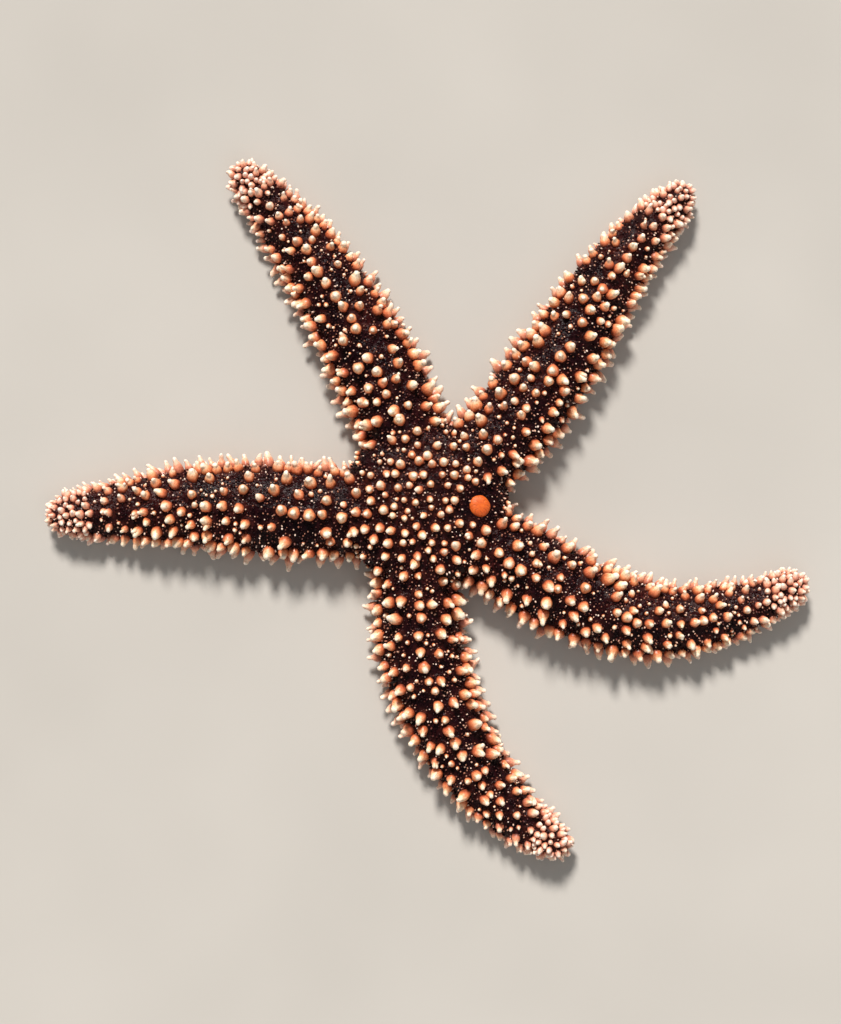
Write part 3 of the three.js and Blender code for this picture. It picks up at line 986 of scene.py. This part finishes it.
def groove_spines(random):
    """Short blunt spines in two rows along each side of the grooves, lying out over the floor."""
    parts = []
    for arm, side, (offset, length, radius, start, pitch) in product(ARMS, (1, -1), GROOVE_ROWS):
        along = np.arange(start, arm.length - GROOVE_END, pitch)
        half, height, lift = arm.girth_at(along)
        narrowing = groove_narrowing(along, arm.length)
        root = arm.beside(along, side * np.minimum(offset * narrowing, half * GROOVE_REACH))
        root[:, 2] = lift + UNDERSIDE_SHARE * MARGIN_SHARE * height + GROOVE_RISE
        here = length * narrowing * random.uniform(*GROOVE_LENGTHS, len(along))
        outward = arm.left(along) * side * random.uniform(*GROOVE_OUT, (len(along), 1))
        onward = arm.heading(along) * random.uniform(*GROOVE_ONWARD, (len(along), 1))
        drop = np.clip((root[:, 2] - radius / 2) / here, *GROOVE_DROPS)[:, None]
        axis = unit(outward + onward) * np.sqrt(1 - drop**2) + np.array([0, 0, -1.0]) * drop
        parts.append(Growths(root=root, axis=axis, length=here, radius=radius * narrowing, **GROOVE_FORM))
    return sum(parts[1:], parts[0])


# Rows of tube feet: share of the groove's half width, and start. They end a little before the tip.
FOOT_ROWS = [(-0.62, 6.0), (-0.22, 6.75), (0.22, 6.0), (0.62, 6.75)]
FOOT_END = 2.5
FOOT_PITCH = 1.5
FOOT_RADIUS = 0.52
FOOT_STRAY = 0.1
FOOT_SPLAY = (0.1, 0.5)
FOOT_ONWARD = 0.3
FOOT_LIFT = 0.6
FOOT_CLEARANCE = 0.02
BELOW_FLOOR = -1.0


def tube_feet(skin, random):
    """Four rows of tube feet in each groove, standing on the floor with their suckers."""
    parts = []
    for arm, (share, start) in product(ARMS, FOOT_ROWS):
        along = np.arange(start, arm.length - FOOT_END, FOOT_PITCH)
        narrowing = groove_narrowing(along, arm.length)
        across = share * GROOVE_HALF_WIDTH * narrowing + FOOT_STRAY * random.normal(0, 1, len(along))
        below = arm.beside(along, across)
        below[:, 2] = BELOW_FLOOR
        root = np.array([skin.tree.ray_cast(Vector(spot), Vector((0, 0, 1.0)))[0] for spot in below])
        foot = below + arm.left(along) * (across * random.uniform(*FOOT_SPLAY, len(along)))[:, None]
        foot += arm.heading(along) * random.normal(0, FOOT_ONWARD, (len(along), 1))
        _, _, lift = arm.girth_at(along)
        foot[:, 2] = lift * FOOT_LIFT + FOOT_CLEARANCE
        way = foot - root
        length = norm(way, axis=1)
        parts.append(Growths(root=root, axis=unit(way), length=length, radius=FOOT_RADIUS * narrowing))
    return sum(parts[1:], parts[0])


# ---------------- materials


# Noise seldom leaves these values.
NOISE_RANGE = (0.3, 0.7)
WHITE = (255, 255, 255)


class Nodes:
    """A material's node tree, built a node at a time."""

    def __init__(self, name):
        self.material = bpy.data.materials.new(name)
        self.material.use_nodes = True
        self.tree = self.material.node_tree
        self.shader = self.tree.nodes["Principled BSDF"]
        self.place = self.tree.nodes.new("ShaderNodeTexCoord").outputs["Object"]

    def plug(self, socket, value):
        if isinstance(value, bpy.types.NodeSocket):
            self.tree.links.new(value, socket)
        else:
            socket.default_value = value

    def add(self, kind, inputs, **settings):
        """A new node, with its inputs by name or number."""
        node = self.tree.nodes.new("ShaderNode" + kind)
        for name, value in settings.items():
            setattr(node, name, value)
        for key, value in inputs.items():
            self.plug(node.inputs[key], value)
        return node

    def noise(self, wavelength, detail, roughness=0.55):
        scale = 1 / (wavelength * MM)
        inputs = {"Vector": self.place, "Scale": scale, "Detail": detail, "Roughness": roughness}
        return self.add("TexNoise", inputs).outputs["Fac"]

    def cells(self, wavelength):
        inputs = {"Vector": self.place, "Scale": 1 / (wavelength * MM)}
        return self.add("TexVoronoi", inputs).outputs["Distance"]

    def value(self, name):
        return self.add("Attribute", {}, attribute_name=name).outputs["Fac"]

    def ramp(self, factor, stops):
        """Colours by position, as screen values."""
        node = self.add("ValToRGB", {"Fac": factor})
        points = node.color_ramp.elements
        while len(points) < len(stops):
            points.new(0.5)
        for point, (position, colour) in zip(points, stops.items()):
            point.position = position
            point.color = srgb(*colour)
        return node.outputs["Color"]

    def mix(self, factor, first, second, blend="MIX"):
        inputs = {0: factor, 6: first, 7: second}
        return self.add("Mix", inputs, data_type="RGBA", blend_type=blend).outputs[2]

    def tint(self, colour, factor, stops, share=1.0):
        """The colour times that of a ramp."""
        return self.mix(share, colour, self.ramp(factor, stops), "MULTIPLY")

    def fit(self, value, low, high, to_low, to_high):
        inputs = {"Value": value, "From Min": low, "From Max": high, "To Min": to_low, "To Max": to_high}
        return self.add("MapRange", inputs).outputs["Result"]

    def sum(self, first, second, operation="ADD"):
        return self.add("Math", {0: first, 1: second}, operation=operation).outputs["Value"]

    def bump(self, height, depth, strength):
        inputs = {"Height": height, "Distance": depth * MM, "Strength": strength}
        return self.add("Bump", inputs).outputs["Normal"]

    def finish(self, colour, **inputs):
        for name, value in {"Base_Color": colour, **inputs}.items():
            self.plug(self.shader.inputs[name.replace("_", " ")], value)
        return self.material

    def rough(self, wavelength, detail, low, high):
        return self.fit(self.noise(wavelength, detail), *NOISE_RANGE, low, high)


def srgb(red, green, blue):
    """A colour given as 0 to 255 screen values."""
    shares = np.array([red, green, blue]) / 255
    linear = np.where(shares <= 0.04045, shares / 12.92, ((shares + 0.055) / 1.055) ** 2.4)
    return (*linear.tolist(), 1.0)


def skin_material():
    """Wet, nearly black purple-brown, redder in patches, and pale tan underneath, with painted shade
    darkening the mouth.
    """
    n = Nodes("wet_skin")
    dark = n.ramp(n.noise(7.0, 2), {0.3: (26, 9, 14), 0.52: (42, 14, 18), 0.72: (68, 25, 22)})
    speckle = {0.36: (110, 90, 100), 0.55: (210, 195, 205), 0.74: (255, 240, 245)}
    dark = n.tint(dark, n.noise(0.55, 4, 0.7), speckle)
    pad = n.ramp(n.noise(1.4, 2), {0.35: (44, 19, 20), 0.7: (88, 38, 27)})
    dark = n.mix(n.sum(n.value("pad"), 0.4, "MULTIPLY"), dark, pad)
    belly = n.ramp(n.noise(1.8, 3), {0.3: (150, 104, 78), 0.55: (192, 148, 112), 0.8: (214, 178, 142)})
    # Painted shade: the belly turns dark brown towards the mouth, standing in for its opening.
    belly = n.mix(n.sum(n.value("mouth"), 0.85, "MULTIPLY"), belly, srgb(84, 40, 32))
    colour = n.mix(n.value("under"), dark, belly)
    height = n.sum(n.noise(0.5, 4, 0.6), n.cells(0.75), "SUBTRACT")
    return n.finish(
        colour,
        Roughness=n.rough(1.1, 3, 0.14, 0.32),
        Normal=n.bump(height, 0.16, 0.9),
        Specular_IOR_Level=0.08,
    )


# A spine's colours from its root to its nub. The dark root is painted shade where the spine meets the skin,
# and the cream nub is partly the spine's own pale colour and partly a painted highlight.
WARM = {
    0.0: (92, 38, 24),
    0.14: (160, 78, 48),
    0.34: (216, 122, 76),
    0.52: (244, 170, 120),
    0.68: (255, 220, 182),
    1.0: (255, 243, 222),
}
RUDDY = {
    0.0: (84, 36, 26),
    0.16: (146, 68, 44),
    0.38: (206, 108, 68),
    0.56: (238, 156, 110),
    0.72: (253, 210, 174),
    1.0: (255, 238, 216),
}
PINK = {
    0.0: (122, 66, 54),
    0.2: (192, 120, 98),
    0.45: (232, 166, 140),
    0.7: (250, 210, 188),
    1.0: (255, 240, 226),
}


def spine_material():
    """Orange-brown at the root, peach in the middle and cream at the nub, or pinker where pale is high. The
    dark root is painted shade and the cream nub partly a painted highlight.
    """
    n = Nodes("spine")
    height = n.sum(n.value("along"), n.fit(n.noise(0.7, 3), *NOISE_RANGE, -0.06, 0.06))
    ruddy = n.fit(n.value("chance"), 0.35, 0.9, 0.0, 1.0)
    # These ramps darken each spine towards its root as painted shade, and their cream tops are partly a
    # painted highlight.
    colour = n.mix(ruddy, n.ramp(height, WARM), n.ramp(height, RUDDY))
    colour = n.mix(n.value("pale"), colour, n.ramp(height, PINK))
    return n.finish(
        n.tint(colour, n.noise(0.35, 4, 0.65), {0.3: (214, 196, 186), 0.52: WHITE}, 0.8),
        Roughness=n.rough(0.6, 3, 0.26, 0.5),
        Normal=n.bump(n.noise(0.32, 4, 0.6), 0.06, 0.7),
        Subsurface_Weight=0.12,
        Subsurface_Radius=(0.9, 0.45, 0.25),
        Subsurface_Scale=0.6 * MM,
    )


# The pincers' colours, from the palest to the darkest.
SPECKS = {
    0.0: (255, 238, 224),
    0.2: (230, 190, 166),
    0.45: (176, 116, 92),
    0.8: (110, 58, 50),
    1.0: (78, 38, 38),
}


def pincer_material():
    """Specks from cream to dark brown, darker towards their roots with painted shade."""
    n = Nodes("pincer")
    # The tint by along is painted shade: each speck is darker towards its root.
    colour = n.tint(n.ramp(n.value("chance"), SPECKS), n.value("along"), {0.0: (180, 156, 150), 0.5: WHITE})
    colour = n.tint(colour, n.noise(0.25, 2), {0.3: (228, 218, 212), 0.6: WHITE})
    return n.finish(
        colour,
        Roughness=n.rough(0.4, 2, 0.22, 0.45),
        Normal=n.bump(n.noise(0.2, 2), 0.03, 0.5),
    )


def gill_material():
    """Dark soft fingers, a little lighter at their ends."""
    n = Nodes("gill")
    colour = n.ramp(n.value("along"), {0.0: (22, 8, 13), 0.6: (40, 16, 20), 1.0: (72, 36, 34)})
    colour = n.tint(colour, n.value("chance"), {0.2: (150, 130, 150), 0.8: (255, 240, 230)})
    colour = n.tint(colour, n.noise(0.3, 2), {0.3: (180, 170, 180), 0.65: WHITE})
    return n.finish(
        colour,
        Roughness=n.rough(0.5, 2, 0.16, 0.36),
        Normal=n.bump(n.noise(0.2, 2), 0.03, 0.5),
        Specular_IOR_Level=0.12,
    )


def sieve_material():
    """Matt bright orange, with painted shade making the furrows a deeper orange."""
    n = Nodes("sieve_orange")
    mottled = n.ramp(n.noise(0.6, 4, 0.6), {0.3: (206, 84, 18), 0.55: (228, 102, 26), 0.8: (238, 124, 44)})
    return n.finish(
        # The furrows' deeper orange is painted shade in the recesses.
        n.mix(n.sum(n.value("furrow"), 0.55, "MULTIPLY"), mottled, srgb(160, 56, 12)),
        Roughness=n.rough(0.4, 3, 0.45, 0.62),
        Normal=n.bump(n.noise(0.22, 4, 0.6), 0.05, 0.7),
        Subsurface_Weight=0.1,
        Subsurface_Radius=(1.0, 0.4, 0.1),
        Subsurface_Scale=0.5 * MM,
    )


# A tube foot's colours from its root to its sucker.
TAN = {0.0: (164, 116, 74), 0.7: (204, 158, 106), 0.88: (226, 196, 148), 1.0: (212, 172, 122)}


def foot_material():
    """Translucent tan stalks with paler suckers."""
    n = Nodes("tube_foot")
    return n.finish(
        n.tint(n.ramp(n.value("along"), TAN), n.noise(0.4, 3), {0.3: (200, 186, 170), 0.65: WHITE}),
        Roughness=n.rough(0.5, 2, 0.2, 0.42),
        Normal=n.bump(n.noise(0.3, 3), 0.04, 0.6),
        Subsurface_Weight=0.2,
        Subsurface_Radius=(1.0, 0.6, 0.35),
        Subsurface_Scale=0.5 * MM,
    )


def floor_material():
    """Plain pale matt floor."""
    n = Nodes("pale_floor")
    colour = n.ramp(n.noise(60, 2), {0.3: (189, 185, 178), 0.7: (196, 192, 185)})
    return n.finish(colour, Roughness=0.9, Specular_IOR_Level=0.05)


# ---------------- the stage

# What the camera looks at, and how.
PHOTO_CENTRE = np.array([-1.67, 0.02, 3.0])
CAMERA_TILT = 2.5
CAMERA_DISTANCE = 600.0
VIEW_HEIGHT = 204.0
SENSOR = 36.0
CLIP_START = 0.01
CLIP_END = 20


def add_camera():
    """A camera almost straight above, leaning a little towards the far side."""
    data = bpy.data.cameras.new("camera")
    data.sensor_width = SENSOR
    data.lens = SENSOR * CAMERA_DISTANCE / VIEW_HEIGHT
    data.clip_start = CLIP_START
    data.clip_end = CLIP_END
    camera = add_object("camera", data)
    tilt = np.radians(CAMERA_TILT)
    back = np.array([0, np.sin(tilt), np.cos(tilt)])
    camera.location = (PHOTO_CENTRE + back * CAMERA_DISTANCE) * MM
    camera.rotation_euler = (-tilt, 0, 0)
    bpy.context.scene.camera = camera


def add_light(name, kind, place, colour, settings):
    """A soft light that shines towards the animal from a place in metres."""
    data = bpy.data.lights.new(name, kind)
    data.color = colour
    for setting, number in settings.items():
        setattr(data, setting, number)
    lamp = add_object(name, data)
    lamp.location = place
    lamp.rotation_euler = (-Vector(place)).to_track_quat("-Z", "Y").to_euler()


FLOOR_HUB = 50.0
FLOOR_RADIUS = 1500.0
FLOOR_SIDES = 96
SWEEP_RADIUS = 1100.0
SWEEP_DEGREES = 80
SWEEP_RINGS = 17

# Lamps: place, colour and settings.
KEY = ((-0.24, 1.36, 1.22), (1.0, 0.955, 0.915), {"energy": 4.7, "angle": np.radians(12)})
FILL = ((0.5, -0.8, 1.2), (0.94, 0.97, 1.0), {"energy": 2.0, "size": 1.2})
AIR_COLOUR = (0.96, 0.98, 1.0, 1.0)
AIR_STRENGTH = 0.26


def sweep_floor():
    """A round flat floor that curves up into a wall far from the animal."""
    flat = np.array([[FLOOR_HUB, 0], [FLOOR_RADIUS, 0]])
    turn = np.radians(np.linspace(0, SWEEP_DEGREES, SWEEP_RINGS)[1:])
    curve = np.stack([np.sin(turn), 1 - np.cos(turn)], axis=1) * SWEEP_RADIUS + [FLOOR_RADIUS, 0]
    profile = np.vstack([flat, curve])
    loops, totals = tube_faces(len(profile), FLOOR_SIDES)
    loops, totals = loops[:-FLOOR_SIDES], totals[:-1]
    return make_object("floor", turned(*profile.T, FLOOR_SIDES), loops[::-1], totals[::-1])


def add_stage():
    """The floor, the lamps and the light all round."""
    floor = sweep_floor()
    floor.data.materials.append(floor_material())
    floor.visible_shadow = False
    add_light("key", "SUN", *KEY)
    add_light("fill", "AREA", *FILL)
    world = bpy.data.worlds.new("studio")
    world.use_nodes = True
    background = world.node_tree.nodes["Background"]
    background.inputs["Color"].default_value = AIR_COLOUR
    background.inputs["Strength"].default_value = AIR_STRENGTH
    bpy.context.scene.world = world
    bpy.context.scene.view_settings.view_transform = "Standard"


# ---------------- putting it together


def place(piece, slot, material):
    piece.data.materials.clear()
    piece.data.materials.append(material)
    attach(piece, "root")


def main():
    random = np.random.default_rng(SEED)
    skin, taken, marginal, fringe, dorsal, disc, sieve_root = build_skin(random)
    surface = Skin(skin.data)
    small = sum((scattered_spines(surface, taken, random, *scatter) for scatter in SCATTERS), disc)
    spine = spine_material()
    pieces = {
        "spines_marginal": (marginal, LARGE),
        "spines_fringe": (fringe, LARGE),
        "spines_dorsal": (dorsal, DORSAL),
        "spines_small": (small, SMALL),
        "spines_groove": (groove_spines(random), GROOVE),
    }
    for name, (things, kind) in pieces.items():
        place(grow(name, things, kind, random, crown=CROWN), "spines", spine)

    pincers, places, normals = specks(surface, taken, random)
    place(grow("pincers", pincers, SPECK, random), "spines", pincer_material())
    gills = Growths(
        root=places,
        axis=tilted(normals, random, GILL_LEAN),
        length=random.uniform(*GILL_LENGTHS, len(places)),
        radius=random.uniform(*GILL_WIDTHS, len(places)),
    )
    place(grow("skin_gills", gills, SPECK, random), "skin", gill_material())

    feet = grow("tube_feet", tube_feet(surface, random), FOOT, random, lobes=0.0, bend=FOOT_BEND)
    place(feet, "tube_feet", foot_material())

    sieve = build_sieve(sieve_root)
    place(sieve, "madreporite", sieve_material())
    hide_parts("madreporite")

    place(skin, "skin", skin_material())
    nodes = [f"arm_{number}_{part}" for number in range(1, 6) for part in ("base", "middle", "tip")]
    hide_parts("disc", *nodes)
    add_camera()
    add_stage()


main()
